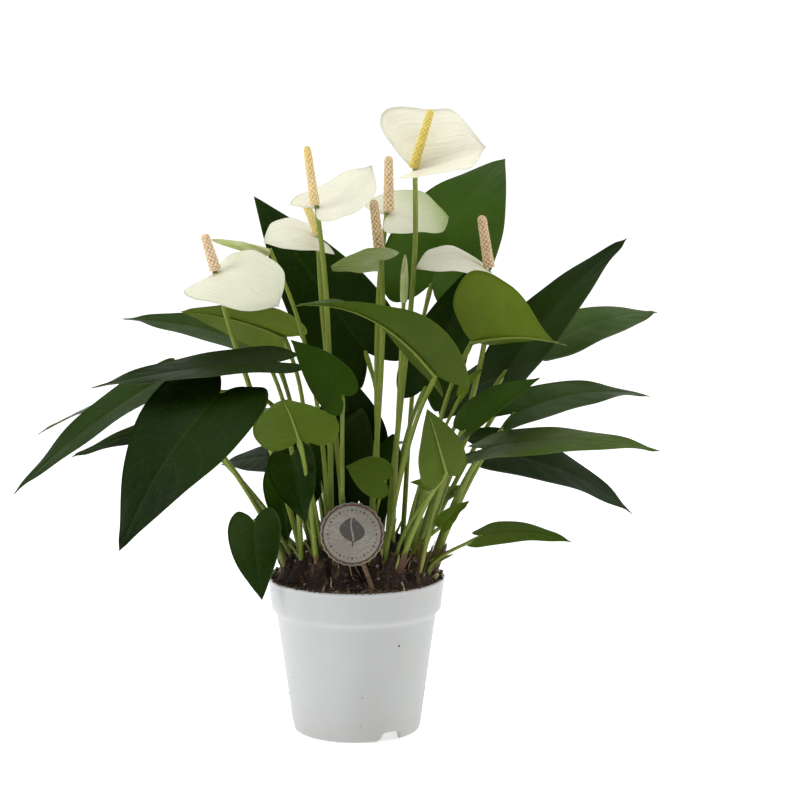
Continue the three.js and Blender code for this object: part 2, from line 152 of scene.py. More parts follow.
def along_spline(points, share):
    """A point on the Catmull-Rom curve through points, share from 0 to 1."""
    at = min(max(share, 0.0), 1.0) * (len(points) - 1)
    i = min(int(at), len(points) - 2)
    t = at - i
    b, c = points[i], points[i + 1]
    a = points[i - 1] if i else b * 2 - c
    d = points[i + 2] if i + 2 < len(points) else c * 2 - b
    return 0.5 * (
        b * 2
        + (c - a) * t
        + (a * 2 - b * 5 + c * 4 - d) * t * t
        + (b * 3 - a - c * 3 + d) * t * t * t
    )


def smoothstep(lo, hi, x):
    """0 where x is at lo, 1 at hi, and smooth between. lo may be the larger."""
    t = min(max((x - lo) / (hi - lo), 0.0), 1.0)
    return t * t * (3 - 2 * t)


def bell(x, width):
    return math.exp(-((x / width) ** 2))


def between(values, share):
    """The value a share of the way along evenly spaced values."""
    at = share * (len(values) - 1)
    k = min(int(at), len(values) - 2)
    return values[k] + (values[k + 1] - values[k]) * (at - k)


def polar(radius, angle, z):
    """A point at height z, radius away from the pot's axis."""
    return Vector((radius * math.cos(angle), radius * math.sin(angle), z))


def even_shares(steps):
    return [i / steps for i in range(steps + 1)]


def once_round(count):
    return [math.tau * j / count for j in range(count)]


# -------- making meshes


class Surface:
    """Collects vertices and faces, then makes one object.

    Each vertex carries lie, its place along and across the piece, and shade, a number for its material."""

    def __init__(self):
        self.verts = []
        self.faces = []
        self.slots = []
        self.lie = []
        self.shade = []

    def point(self, co, lie=(0, 0, 0), shade=0.0):
        self.verts.append(co)
        self.lie.append(lie)
        self.shade.append(shade)
        return len(self.verts) - 1

    def face(self, corners, slot=0):
        kept = [c for i, c in enumerate(corners) if c != corners[i - 1]]
        if len(set(kept)) > 2:
            self.faces.append(kept)
            self.slots.append(slot)

    def grid(self, rows, slot=0, close=False, flip=False):
        """Faces between rows of point numbers; close joins each row's end to its start."""
        for low, high in zip(rows, rows[1:]):
            count = len(low) if close else len(low) - 1
            for j in range(count):
                k = (j + 1) % len(low)
                corners = [low[j], low[k], high[k], high[j]]
                self.face(corners[::-1] if flip else corners, slot)

    def caps(self, rows, slot=0):
        """Flat ends for a closed grid."""
        self.faces += [rows[0][::-1], rows[-1]]
        self.slots += [slot, slot]

    def circle(self, sides, place, shade=None):
        """A row of points once round. place and shade are functions of the angle."""
        return [self.point(place(a), shade=shade(a) if shade else 0.0) for a in once_round(sides)]

    def tube(self, centres, radii, sides, slot=0, shade=None):
        """A round tube through the centres. radii is a list, or a function of (centre's number, angle)."""
        across = None
        rows = []
        last = len(centres) - 1
        for i, centre in enumerate(centres):
            onward = (centres[min(i + 1, last)] - centres[max(i - 1, 0)]).normalized()
            if across is None:
                across = onward.orthogonal()
            across = (across - onward * across.dot(onward)).normalized()
            upward = onward.cross(across)
            row = []
            for angle in once_round(sides):
                radius = radii(i, angle) if callable(radii) else radii[i]
                co = centre + (across * math.cos(angle) + upward * math.sin(angle)) * radius
                lie = (i / last, angle / math.tau, 0)
                row.append(self.point(co, lie, shade(i, angle) if shade else 0.0))
            rows.append(row)
        self.grid(rows, slot, close=True)
        self.caps(rows, slot)

    def make(self, name, materials, smooth=True):
        mesh = bpy.data.meshes.new(name)
        mesh.from_pydata([tuple(v) for v in self.verts], [], self.faces)
        for material in materials:
            mesh.materials.append(material)
        mesh.polygons.foreach_set("material_index", self.slots)
        mesh.polygons.foreach_set("use_smooth", [smooth] * len(self.faces))
        lie = mesh.attributes.new("lie", "FLOAT_VECTOR", "POINT")
        lie.data.foreach_set("vector", [x for row in self.lie for x in row])
        shade = mesh.attributes.new("shade", "FLOAT", "POINT")
        shade.data.foreach_set("value", self.shade)
        mesh.update()
        piece = bpy.data.objects.new(name, mesh)
        scene.collection.objects.link(piece)
        return piece

    def show(self, name, materials, slot, *replaced):
        """Makes a piece of the plant or pot that stands for the replaced CAD nodes."""
        piece = self.make(name, materials)
        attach(piece, "root")
        if replaced:
            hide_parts(*replaced)




# -------- materials


class Nodes:
    """A short way to write a material's node tree."""

    def __init__(self, name):
        self.material = bpy.data.materials.new(name)
        self.material.use_nodes = True
        self.tree = self.material.node_tree
        self.shader = self.tree.nodes["Principled BSDF"].inputs

    def add(self, kind, fed, **values):
        """The outputs of a new node. fed holds a number, a colour or another output for its inputs."""
        node = self.tree.nodes.new("ShaderNode" + kind)
        for key, value in values.items():
            setattr(node, key, value)
        for key, value in fed.items():
            self.feed(node.inputs[key], value)
        return node.outputs

    def feed(self, socket, value):
        if isinstance(value, (int, float)):
            socket.default_value = value
        elif isinstance(value, tuple):
            socket.default_value = (*value, 1.0) if socket.type == "RGBA" else value
        else:
            self.tree.links.new(value, socket)

    def math(self, operation, a, b=0.0, clamp=False):
        return self.add("Math", {0: a, 1: b}, operation=operation, use_clamp=clamp)[0]

    def times(self, a, b, clamp=False):
        return self.math("MULTIPLY", a, b, clamp)

    def plus(self, a, b):
        return self.math("ADD", a, b)

    def mix(self, share, a, b):
        return self.add("Mix", {0: share, 6: a, 7: b}, data_type="RGBA")[2]

    def span(self, value, lo, hi, to_lo=0.0, to_hi=1.0):
        """value from lo to hi, smoothly turned into to_lo to to_hi."""
        fed = {0: value, 1: lo, 2: hi, 3: to_lo, 4: to_hi}
        return self.add("MapRange", fed, interpolation_type="SMOOTHSTEP")[0]

    def noise(self, scale, detail=3.0, place=None, stretch=None, roughness=0.5):
        place = place or self.place()
        if stretch:
            place = self.add("Mapping", {"Vector": place, "Scale": stretch})[0]
        fed = {"Vector": place, "Scale": scale, "Detail": detail, "Roughness": roughness}
        return self.add("TexNoise", fed)[0]

    def cells(self, scale):
        return self.add("TexVoronoi", {"Vector": self.place(), "Scale": scale})["Distance"]

    def place(self):
        return self.add("TexCoord", {})["Object"]

    def attribute(self, name, output="Fac"):
        return self.add("Attribute", {}, attribute_name=name)[output]

    def lie(self):
        """How far along the piece, how far across it from the midrib, and 0."""
        return self.add("SeparateXYZ", {0: self.attribute("lie", "Vector")})

    def bump(self, height, depth):
        fed = {"Height": height, "Distance": depth, "Strength": 1.0}
        self.feed(self.shader["Normal"], self.add("Bump", fed)[0])

    def finish(self, colour, roughness, glow=0.0, specular=0.5, glow_colour=None):
        """glow is the share of light that shines through a thin piece."""
        self.feed(self.shader["Base Color"], colour)
        self.feed(self.shader["Roughness"], roughness)
        self.shader["Specular IOR Level"].default_value = specular
        if glow:
            through = self.add("BsdfTranslucent", {"Color": glow_colour or colour})[0]
            surface = self.tree.nodes["Principled BSDF"].outputs[0]
            blend = self.add("MixShader", {0: glow, 1: surface, 2: through})[0]
            self.feed(self.tree.nodes["Material Output"].inputs["Surface"], blend)
        return self.material


SIDE_VEINS = 11  # on each side of a blade
VEIN_SWEEP = 0.16  # how far a side vein reaches on towards the tip, as a share of the blade


def srgb(red, green, blue):
    """A colour given as screen values from 0 to 255, in linear light."""

    def linear(value):
        value /= 255
        return value / 12.92 if value <= 0.04045 else ((value + 0.055) / 1.055) ** 2.4

    return (linear(red), linear(green), linear(blue))


def vein_lines(n, x, y):
    """1 on a blade's side veins and 0 between them. They leave the midrib and bend to the tip."""
    sweep = n.times(n.math("POWER", y, 1.5), VEIN_SWEEP)
    wander = n.times(n.noise(60, 1.0), 0.03)
    at = n.times(n.math("SUBTRACT", n.plus(x, wander), sweep), SIDE_VEINS)
    off = n.math("ABSOLUTE", n.math("SUBTRACT", n.math("FRACT", at), 0.5))
    return n.span(off, 0.0, 0.05, 1.0, 0.0)


def leaf_side(name, deep, fair, vein, roughness, vein_strength, specular, glow=0.0, glow_colour=None):
    """One side of a leaf blade: deep to fair by its shade, which is painted light and shade, darker
    towards the tip; with blotches, veins and fine grain.
    """
    n = Nodes(name)
    x, y, _ = n.lie()
    blotch = n.noise(38, 4.0)
    # painted light and shade: each leaf's own value, lighter by the neck and darker towards the tip
    painted_lightness = n.times(n.attribute("shade"), n.span(x, 0.1, 1.0, 1.2, 0.6), clamp=True)
    base = n.mix(painted_lightness, deep, fair)
    base = n.mix(n.span(blotch, 0.35, 0.7, 0.0, 0.45), base, n.mix(0.5, deep, base))
    base = n.mix(n.span(n.noise(9, 2.0), 0.4, 0.65, 0.0, 0.14), base, fair)
    veins = vein_lines(n, x, y)
    fine = n.span(n.noise(420, 2.0), 0.5, 0.72, 0.0, 0.15)
    midrib = n.span(y, 0.0, 0.045, 1.0, 0.0)
    margin = n.span(y, 0.972, 1.0, 0.0, 1.0)
    base = n.mix(n.times(veins, vein_strength), base, vein)
    base = n.mix(fine, base, n.mix(0.5, base, vein))
    base = n.mix(n.times(midrib, vein_strength * 2.2, clamp=True), base, vein)
    base = n.mix(n.times(margin, 0.45), base, vein)
    height = n.math("SUBTRACT", n.times(n.noise(160, 3.0), 0.6), n.times(veins, 0.15))
    n.bump(n.plus(height, n.times(n.noise(1500, 2.0), 0.25)), 0.5 * MM)
    rough = n.span(blotch, 0.3, 0.75, roughness - 0.06, roughness + 0.1)
    return n.finish(base, rough, glow, specular, glow_colour)


def stem_material(name, green, foot):
    """A stalk or petiole: lengthwise streaks, dull scars and a browner foot."""
    n = Nodes(name)
    streak = n.noise(9, 3.0, n.attribute("lie", "Vector"), (0.9, 3.0, 1.0))
    colour = n.mix(n.span(streak, 0.35, 0.7, 0.0, 0.6), green, tuple(c * 0.55 for c in green))
    colour = n.mix(n.span(n.noise(260, 2.0), 0.58, 0.72, 0.0, 0.35), colour, srgb(150, 160, 80))
    colour = n.mix(n.attribute("shade"), colour, foot)
    n.bump(n.plus(n.noise(700, 3.0), n.times(streak, 1.5)), 0.25 * MM)
    return n.finish(colour, n.span(streak, 0.3, 0.7, 0.36, 0.55), 0.08)


def plastic_material():
    """White pot plastic: faint drips and dust, darker, browner patches towards the foot, a few specks of
    dirt.
    """
    n = Nodes("pot_plastic")
    dust = n.noise(16, 4.0, stretch=(1.0, 1.0, 0.35))
    colour = n.mix(n.span(dust, 0.42, 0.72, 0.0, 0.5), srgb(186, 188, 189), srgb(172, 173, 168))
    height = n.add("SeparateXYZ", {0: n.place()})[2]
    # darker and browner in patches within 30 mm of the foot
    low = n.span(height, 0.0, 0.03, 0.4, 0.0)
    colour = n.mix(n.times(low, n.noise(70, 3.0)), colour, srgb(170, 164, 150))
    specks = n.span(n.cells(95), 0.0, 0.055, 1.0, 0.0)
    rare = n.span(n.noise(33, 1.0), 0.63, 0.68, 0.0, 1.0)
    colour = n.mix(n.times(n.times(specks, rare), 0.85), colour, srgb(70, 52, 38))
    n.bump(n.plus(n.noise(900, 2.0), n.times(n.noise(60, 3.0), 2.0)), 0.12 * MM)
    return n.finish(colour, n.span(dust, 0.3, 0.7, 0.36, 0.52))


def grain_material(name, dark, light, scale, depth, roughness=0.95):
    """Peat, roots, wood and dry sheaths: two colours broken up by grain, with relief depth mm deep."""
    n = Nodes(name)
    grain = n.noise(scale, 6.0, roughness=0.65)
    colour = n.mix(n.span(grain, 0.38, 0.66), dark, light)
    colour = n.mix(n.attribute("shade"), colour, n.mix(0.6, colour, srgb(150, 120, 84)))
    n.bump(grain, depth * MM)
    return n.finish(colour, n.span(grain, 0.3, 0.7, roughness - 0.15, roughness))


def spathe_material(name, white, tint):
    """Waxy spathe: white to green by its shade, faint veins that fan from the base, soft glow."""
    n = Nodes(name)
    fan = n.noise(5, 2.0, n.attribute("lie", "Vector"), (0.35, 3.2, 1.0))
    colour = n.mix(n.attribute("shade"), white, tint)
    colour = n.mix(n.span(fan, 0.45, 0.75, 0.0, 0.28), colour, n.mix(0.35, colour, tint))
    colour = n.mix(n.span(n.noise(46, 4.0), 0.5, 0.75, 0.0, 0.25), colour, srgb(228, 222, 196))
    height = n.plus(n.times(fan, 1.2), n.times(n.noise(240, 3.0), 0.5))
    n.bump(height, 0.6 * MM)
    return n.finish(colour, n.span(fan, 0.3, 0.7, 0.22, 0.36), 0.3)


def spadix_material(name, valley, floret, dusted):
    """Florets paler than the seams between them, whose darker colour is partly their own and partly
    painted shade in the hollows; shade says how high a floret's point stands.
    """
    n = Nodes(name)
    x, _, _ = n.lie()
    high = n.attribute("shade")
    out = n.span(high, 0.15, 0.65)
    upward = n.span(x, 0.35, 0.95, 0.0, 0.8)
    # seams darker than florets by height: partly their own colour, partly painted shade in the hollows
    colour = n.mix(upward, n.mix(out, valley, floret), n.mix(out, valley, dusted))
    colour = n.mix(n.span(n.noise(700, 2.0), 0.4, 0.65, 0.0, 0.7), colour, n.mix(0.75, valley, dusted))
    n.bump(n.noise(2400, 3.0), 0.2 * MM)
    return n.finish(colour, n.span(high, 0.0, 1.0, 0.75, 0.5), 0.08)


def bud_material():
    """A rolled spathe: pale green with red-brown along its edge and tip."""
    n = Nodes("bud_skin")
    streak = n.noise(8, 3.0, n.attribute("lie", "Vector"), (0.5, 4.0, 1.0))
    colour = n.mix(n.span(streak, 0.35, 0.7), srgb(168, 186, 92), srgb(222, 226, 176))
    red = n.times(n.attribute("shade"), n.span(n.noise(120, 3.0), 0.3, 0.6, 0.35, 1.0))
    colour = n.mix(red, colour, srgb(138, 82, 52))
    n.bump(n.plus(streak, n.noise(500, 3.0)), 0.4 * MM)
    return n.finish(colour, n.span(streak, 0.3, 0.7, 0.32, 0.48), 0.1)


def card_material():
    """Grey-brown card with fine upright fibres."""
    n = Nodes("label_card")
    fibre = n.noise(420, 4.0, stretch=(1.0, 1.0, 3.0))
    colour = n.mix(n.span(fibre, 0.35, 0.7), srgb(128, 123, 112), srgb(152, 147, 136))
    colour = n.mix(n.span(n.noise(45, 3.0), 0.45, 0.7, 0.0, 0.4), colour, srgb(118, 111, 99))
    n.bump(fibre, 0.1 * MM)
    return n.finish(colour, n.span(fibre, 0.3, 0.7, 0.55, 0.75))


def print_material(name, ink, worn):
    """Ink that has worn thin in places."""
    n = Nodes(name)
    wear = n.noise(300, 4.0)
    colour = n.mix(n.span(wear, 0.5, 0.72, 0.0, 0.6), ink, worn)
    n.bump(n.noise(1200, 2.0), 0.05 * MM)
    return n.finish(colour, n.span(wear, 0.3, 0.7, 0.4, 0.6))


def floor_material():
    """White paper that glows a little, so that it stays white in the plant's shade."""
    n = Nodes("studio_floor")
    mottle = n.noise(1.5, 3.0)
    colour = n.mix(n.span(mottle, 0.3, 0.7), srgb(250, 250, 250), srgb(246, 246, 246))
    n.bump(n.noise(300, 2.0), 0.1 * MM)
    n.feed(n.shader["Emission Color"], (1.0, 1.0, 1.0))
    n.feed(n.shader["Emission Strength"], 0.5)
    return n.finish(colour, n.span(mottle, 0.3, 0.7, 0.85, 0.95))


DARK_UPPER = leaf_side(
    "leaf_dark_upper", srgb(14, 31, 3), srgb(60, 90, 14), srgb(66, 92, 26), 0.36, 0.07, 0.06
)
DARK_UNDER = leaf_side(
    "leaf_dark_under", srgb(38, 58, 8), srgb(84, 104, 24), srgb(98, 118, 44), 0.5, 0.15, 0.12,
    glow=0.12, glow_colour=srgb(120, 150, 16),
)
YOUNG_UPPER = leaf_side(
    "leaf_young_upper", srgb(44, 68, 6), srgb(96, 118, 22), srgb(110, 130, 44), 0.4, 0.1, 0.15,
    glow=0.18, glow_colour=srgb(140, 172, 18),
)
YOUNG_UNDER = leaf_side(
    "leaf_young_under", srgb(46, 70, 6), srgb(110, 128, 28), srgb(122, 140, 52), 0.46, 0.14, 0.15,
    glow=0.22, glow_colour=srgb(150, 176, 20),
)
PETIOLE = stem_material("petiole_green", srgb(122, 140, 30), srgb(78, 54, 30))
STALK = stem_material("flower_stalk_green", srgb(130, 148, 36), srgb(84, 56, 32))
SPATHE = spathe_material("spathe_white", srgb(254, 252, 238), srgb(168, 186, 106))
PLASTIC = plastic_material()
PEAT = grain_material("peat", srgb(20, 13, 9), srgb(62, 42, 28), 620, 2)
CRUMB = grain_material("peat_crumbs", srgb(26, 16, 11), srgb(82, 56, 38), 500, 1)
ROOT = grain_material("pale_roots", srgb(150, 128, 96), srgb(206, 190, 158), 240, 0.6, 0.75)
PERLITE = grain_material("perlite", srgb(150, 142, 126), srgb(190, 184, 170), 500, 1, 0.8)
SHEATH = grain_material("dry_sheath", srgb(74, 48, 26), srgb(132, 98, 60), 190, 0.8, 0.7)
OLD_SHEATH = grain_material("old_sheath", srgb(34, 22, 14), srgb(84, 58, 36), 210, 1, 0.85)
RED_BRACT = grain_material("red_bract", srgb(50, 24, 14), srgb(92, 50, 28), 200, 0.6, 0.55)
PALE_SHEATH = grain_material("pale_sheath", srgb(140, 152, 74), srgb(180, 180, 116), 160, 0.5, 0.6)
BUD_SKIN = bud_material()
CARD = card_material()
COPPER_PRINT = print_material("label_copper", srgb(76, 48, 32), srgb(106, 82, 62))
DARK_PRINT = print_material("label_motif", srgb(64, 60, 54), srgb(110, 102, 90))
PICK = grain_material("pick_wood", srgb(84, 64, 40), srgb(132, 106, 72), 260, 0.5, 0.7)


# -------- leaves

# Painted light and shade on each leaf, from 0 (painted shade) to 1 (painted light): its upper side, then
# its underside.
LEAF_PAINTED_LIGHT = {
    "leaf_back_top": (0.75, 0.5),
    "leaf_back_upright": (0.1, 0.3),
    "leaf_left_bright": (0.9, 0.9),
    "leaf_left_silver": (0.45, 0.4),
    "leaf_left_long": (0.1, 0.2),
    "leaf_front_left_large": (0.0, 0.3),
    "leaf_left_slender": (0.2, 0.3),
    "leaf_left_rear": (0.4, 0.4),
    "leaf_left_low": (0.1, 0.2),
    "leaf_left_shade": (0.1, 0.2),
    "leaf_heart_low": (0.15, 0.3),
    "leaf_centre_pale": (0.5, 0.3),
    "leaf_centre_small": (0.7, 0.4),
    "leaf_centre_arching": (0.12, 0.2),
    "leaf_back_right_dark": (0.1, 0.3),
    "leaf_right_bright": (0.6, 0.75),
    "leaf_right_pointed": (0.15, 0.3),
    "leaf_right_rear": (1.0, 0.7),
    "leaf_right_broad": (0.5, 0.5),
    "leaf_right_folded": (0.45, 0.4),
    "leaf_right_long": (0.35, 0.5),
    "leaf_right_drooping": (0.15, 0.3),
    "leaf_right_low": (0.55, 0.6),
    "leaf_front_small": (0.5, 0.9),
    "leaf_crown_small": (0.5, 0.6),
    "leaf_shade_left": (0.0, 0.2),
    "leaf_shade_right": (0.1, 0.2),
    "leaf_rear_left": (0.3, 0.3),
    "leaf_rear_centre": (0.3, 0.3),
}
# Leaves with a rounder outline: how much wider, where along the blade, and how far to each side.
ROUNDED = {
    "leaf_right_bright": (0.5, 0.8, 0.17),
    "leaf_right_rear": (0.45, 0.78, 0.2),
    "leaf_crown_small": (0.2, 0.7, 0.2),
    "leaf_centre_pale": (0.15, 0.6, 0.25),
}
YOUNG = {p["node"] for p in frame["record"]["subparts"] if p["material_slot"] == "young_leaf"}
SHEATH_THICK = 0.25 * MM
STEM_SLIM = 0.84  # a petiole or stalk is a little thinner than its CAD node
stems = []  # (centres, radii) of every petiole and stalk, for the sheaths round their feet
LEAF_STEPS = 46  # rows of points from the neck to the tip
HALF_STEPS = 11  # and from the midrib to each margin
PETIOLE_COUNT = 7  # rings of a leaf that belong to its petiole
HALF_THICK = 0.28 * MM


def across_half(rib, halfway, margin, share):
    """A point between the midrib (share 0) and a margin (share 1), on the curve through all three."""
    a = (share - 0.5) * (share - 1) * 2
    b = share * (1 - share) * 4
    c = share * (share - 0.5) * 2
    return rib * a + halfway * b + margin * c


def fine_blade(rows, neck, tip, steps, half):
    """The middle surface of a blade as a grid of points, and its upward normals."""
    columns = [[neck] + [row[c] for row in rows] + [tip] for c in range(5)]
    grid = []
    for i in range(steps + 1):
        left, left_half, rib, right_half, right = (along_spline(c, i / steps) for c in columns)
        row = [across_half(rib, left_half, left, 1 - j / half) for j in range(half)]
        row += [across_half(rib, right_half, right, j / half) for j in range(half + 1)]
        grid.append(row)
    return grid, grid_normals(grid)


def grid_normals(grid):
    """The direction away from a grid of points at each of them, on its upper side."""
    points = np.array([[tuple(p) for p in row] for row in grid])
    onward = np.gradient(points, axis=0)
    sideways = np.gradient(points, axis=1)
    normal = np.cross(sideways, onward)
    length = np.linalg.norm(normal, axis=2, keepdims=True)
    normal = normal / np.maximum(length, 1e-12)
    normal[0] = normal[1]
    normal[-1] = normal[-2]
    return [[Vector(p) for p in row] for row in normal]


def shape_blade(grid, normals, size, rng, ripple, quilt):
    """Adds a wavy margin and the swellings between side veins to a blade's middle surface."""
    steps, half = len(grid) - 1, (len(grid[0]) - 1) // 2
    phase = [rng.uniform(0, math.tau) for _ in range(4)]
    for i in range(steps + 1):
        x = i / steps
        fade = smoothstep(0.0, 0.12, x) * smoothstep(1.0, 0.9, x)
        for j in range(2 * half + 1):
            y = (j - half) / half
            away = abs(y)
            side = 0 if y < 0 else 1
            wave = math.sin(x * 17 + phase[side]) + 0.6 * math.sin(x * 31 + phase[side + 2])
            between_veins = math.cos((x - VEIN_SWEEP * away**1.5) * math.tau * SIDE_VEINS)
            swell = between_veins * away * (1 - away) * 4
            lift = size * ripple * wave * away**3 + quilt * swell
            grid[i][j] = grid[i][j] + normals[i][j] * lift * fade


def fill_out(grid, share, where, reach):
    """Widens a blade round one place along it, so that its outline is round there."""
    half = (len(grid[0]) - 1) // 2
    for i, row in enumerate(grid):
        wider = share * bell(i / (len(grid) - 1) - where, reach)
        rib = row[half]
        grid[i] = [rib + (p - rib) * (1 + wider) for p in row]


def add_blade(s, grid, normals, half_thick, shades, slots, rib_groove=0.35 * MM):
    """Both sides of a blade and the rim between them."""
    steps, half = len(grid) - 1, (len(grid[0]) - 1) // 2
    upper, lower = [], []
    for i, (row, ups) in enumerate(zip(grid, normals)):
        x = i / steps
        over, under = [], []
        for j, (p, up) in enumerate(zip(row, ups)):
            y = abs(j - half) / half
            thick = half_thick * (1 - 0.75 * y**3) * smoothstep(-0.05, 0.06, x)
            groove = rib_groove * bell(y, 0.07) * smoothstep(1.0, 0.7, x) * smoothstep(0.0, 0.1, x)
            over.append(s.point(p + up * (thick - groove), (x, y, 0), shades[0]))
            under.append(s.point(p - up * thick, (x, y, 0), shades[1]))
        upper.append(over)
        lower.append(under)
    s.grid(upper, slots[0])
    s.grid(lower, slots[1], flip=True)
    for edge, flip in ((0, False), (-1, True)):
        rim = [[u[edge], l[edge]] for u, l in zip(upper, lower)]
        s.grid(rim, slots[1], flip=flip)
    s.grid([upper[-1], lower[-1]], slots[1])
    s.grid([lower[0], upper[0]], slots[1])


def make_leaf(name, index):
    rng = random.Random(100 + index)
    _, rings, tip = sections(name, CROWN)
    stem_rings, blade_rings = rings[:PETIOLE_COUNT], rings[PETIOLE_COUNT:]
    stem = [middle(r) for r in stem_rings]
    radius = [STEM_SLIM * mean_radius(r) for r in stem_rings]
    stems.append((stem, radius))
    neck = stem[-1]
    grid, normals = fine_blade(blade_rows(blade_rings, tip), neck, tip, LEAF_STEPS, HALF_STEPS)
    if name in ROUNDED:
        fill_out(grid, *ROUNDED[name])
        normals = grid_normals(grid)
    shape_blade(grid, normals, (tip - neck).length, rng, 0.0065, 0.13 * MM)
    s = Surface()
    add_blade(s, grid, normals, HALF_THICK, LEAF_PAINTED_LIGHT[name], (0, 1))
    add_petiole(s, stem, radius, grid, normals, rng)
    young = name in YOUNG
    sides = [YOUNG_UPPER, YOUNG_UNDER] if young else [DARK_UPPER, DARK_UNDER]
    s.show(name + "_fine", [*sides, PETIOLE], "young_leaf" if young else "mature_leaf", name)


def add_petiole(s, stem, radius, grid, normals, rng):
    """The petiole, swollen just below the blade, and the midrib it becomes under the blade."""
    steps = 30
    half = (len(grid[0]) - 1) // 2
    length = sum((b - a).length for a, b in zip(stem, stem[1:]))
    centres, radii, browner = [], [], []
    for i in range(steps + 1):
        share = i / steps
        swelling = 0.3 * bell((1 - share) * length - 7 * MM, 5 * MM)
        uneven = 0.03 * math.sin(share * 21 + rng.random())
        centres.append(along_spline(stem, share))
        radii.append(between(radius, share) * (1 + swelling + uneven))
        browner.append(smoothstep(0.22, 0.0, share) * 0.8)
    last = int((len(grid) - 1) * 0.9)
    for i in range(2, last, 2):
        rib = radius[-1] * (1 - i / last) ** 0.8 * 0.8 + 0.12 * MM
        centres.append(grid[i][half] - normals[i][half] * (rib + 0.25 * MM))
        radii.append(rib)
        browner.append(0.0)
    s.tube(centres, radii, 12, 2, shade=lambda i, _: browner[i])


for index, name in enumerate(sorted(n for n in NODES if n.startswith("leaf_"))):
    make_leaf(name, index)


# -------- flowers

# Greenness of each spathe's inside and outside, and of the part past its middle.
SPATHE_GREEN = {
    "flower_top": (0.0, 0.12, 0.0),
    "flower_left_high": (0.04, 0.15, 0.05),
    "flower_left_back": (0.05, 0.2, 0.05),
    "flower_left_low": (0.15, 0.3, 0.1),
    "flower_centre_high": (0.1, 0.55, 0.8),
    "flower_centre": (0.45, 0.85, 0.5),
    "flower_right": (0.08, 0.25, 0.05),
}
# How much wider a spathe is by its base and by its tip than its CAD node.
BROAD_BASE = {"flower_top": 0.26, "flower_right": 0.1}
ROUND_TIP = {"flower_top": 0.8}
# Colours of each spadix: the seams, partly painted shade in the hollows, the florets, and the florets near
# the top.
SPADIX_LOOKS = {
    "flower_top": (srgb(206, 176, 60), srgb(238, 220, 120), srgb(244, 232, 150)),
    "flower_left_high": (srgb(216, 182, 132), srgb(250, 238, 212), srgb(240, 220, 116)),
    "flower_left_back": (srgb(214, 188, 112), srgb(244, 230, 178), srgb(240, 222, 136)),
    "flower_left_low": (srgb(204, 164, 124), srgb(248, 230, 202), srgb(244, 224, 190)),
    "flower_centre_high": (srgb(192, 150, 100), srgb(244, 228, 192), srgb(246, 232, 200)),
    "flower_centre": (srgb(180, 138, 92), srgb(240, 220, 184), srgb(244, 224, 188)),
    "flower_right": (srgb(196, 152, 110), srgb(244, 224, 192), srgb(242, 222, 190)),
}
# How full each spadix is, measured by its CAD node.
SPADIX_FULL = {"flower_top": 1.12, "flower_left_high": 1.12, "flower_left_back": 1.12}
FLORET = 1.45 * MM  # length of one floret along a spadix
FLORETS_ROUND = 7
SPATHE_STEPS = 44
SPATHE_HALF = 14
SPATHE_HALF_THICK = 0.38 * MM


def spindle(name, start):
    """The line up the middle of a spadix or bud node, and its greatest radius."""
    first, rings, last = sections(name, start)
    return [first] + [middle(r) for r in rings] + [last], max(mean_radius(r) for r in rings)


def make_stalk(name):
    """The stalk of a flower or a bud. Returns its upper end."""
    _, rings, end = sections(name, CROWN)
    centres = [middle(r) for r in rings] + [end]
    radius = [STEM_SLIM * mean_radius(r) for r in rings]
    radius.append(radius[-1])
    stems.append((centres, radius))
    shares = even_shares(40)
    points = [along_spline(centres, share) for share in shares]
    radii = [between(radius, share) * (1 + 0.02 * math.sin(i * 1.7)) for i, share in enumerate(shares)]
    s = Surface()
    s.tube(points, radii, 14, shade=lambda i, _: smoothstep(0.16, 0.0, shares[i]) * 0.8)
    s.show(name + "_fine", [STALK], "stalk", name)
    return end


def make_spathe(name, start, index):
    rng = random.Random(300 + index)
    node = name + "_spathe"
    base, rings, tip = sections(node, start)
    grid, _ = fine_blade(blade_rows(rings, tip), base, tip, SPATHE_STEPS, SPATHE_HALF)
    fill_out(grid, ROUND_TIP.get(name, 0.45), 0.86, 0.15)
    fill_out(grid, BROAD_BASE.get(name, 0.0), 0.22, 0.25)
    normals = grid_normals(grid)
    shape_blade(grid, normals, (tip - base).length, rng, 0.01, 0.0)
    inside, outside, past = SPATHE_GREEN[name]
    s = Surface()
    add_blade(s, grid, normals, SPATHE_HALF_THICK, (inside, outside), (0, 0), 0.0)
    for k, (x, _, _) in enumerate(s.lie):
        s.shade[k] = min(1.0, s.shade[k] + past * smoothstep(0.35, 0.9, x) + 0.25 * bell(x, 0.06))
    s.show(node + "_fine", [SPATHE], "spathe", node)


def make_spadix(name, start):
    """A tapered spike covered in florets: rows of bumps, each row half a floret round from the last."""
    node = name + "_spadix"
    centres, thick = spindle(node, start)
    length = (centres[-1] - centres[0]).length
    rows = max(12, round(length / FLORET))
    shares = even_shares(rows * 7)

    def height(i, angle):
        """From 0 in the seams between florets to about 1 on top of one."""
        share = shares[i]
        bump = math.cos(FLORETS_ROUND * angle + share * 5.0) * math.cos(math.pi * rows * share)
        spot = Vector((math.cos(angle) * 3, math.sin(angle) * 3, share * length / MM))
        return smoothstep(-0.35, 0.75, bump) * (0.8 + 0.5 * noise.noise(spot))

    def radius(i, angle):
        share = shares[i]
        foot = min(1.0, (share / 0.05) ** 0.5)
        top = math.sqrt(max(0.0, 1 - (max(share - 0.86, 0.0) / 0.14) ** 2))
        own = thick * SPADIX_FULL.get(name, 1.3) * (1 - 0.28 * share) * foot * top
        bump = 0.6 * MM * (height(i, angle) - 0.4) * min(1.0, own / thick * 1.6)
        return max(own * 0.93 + bump, 0.02 * MM)

    s = Surface()
    s.tube([along_spline(centres, share) for share in shares], radius, 84, shade=height)
    look = spadix_material(node + "_florets", *SPADIX_LOOKS[name])
    s.show(node + "_fine", [look], "spadix", node)


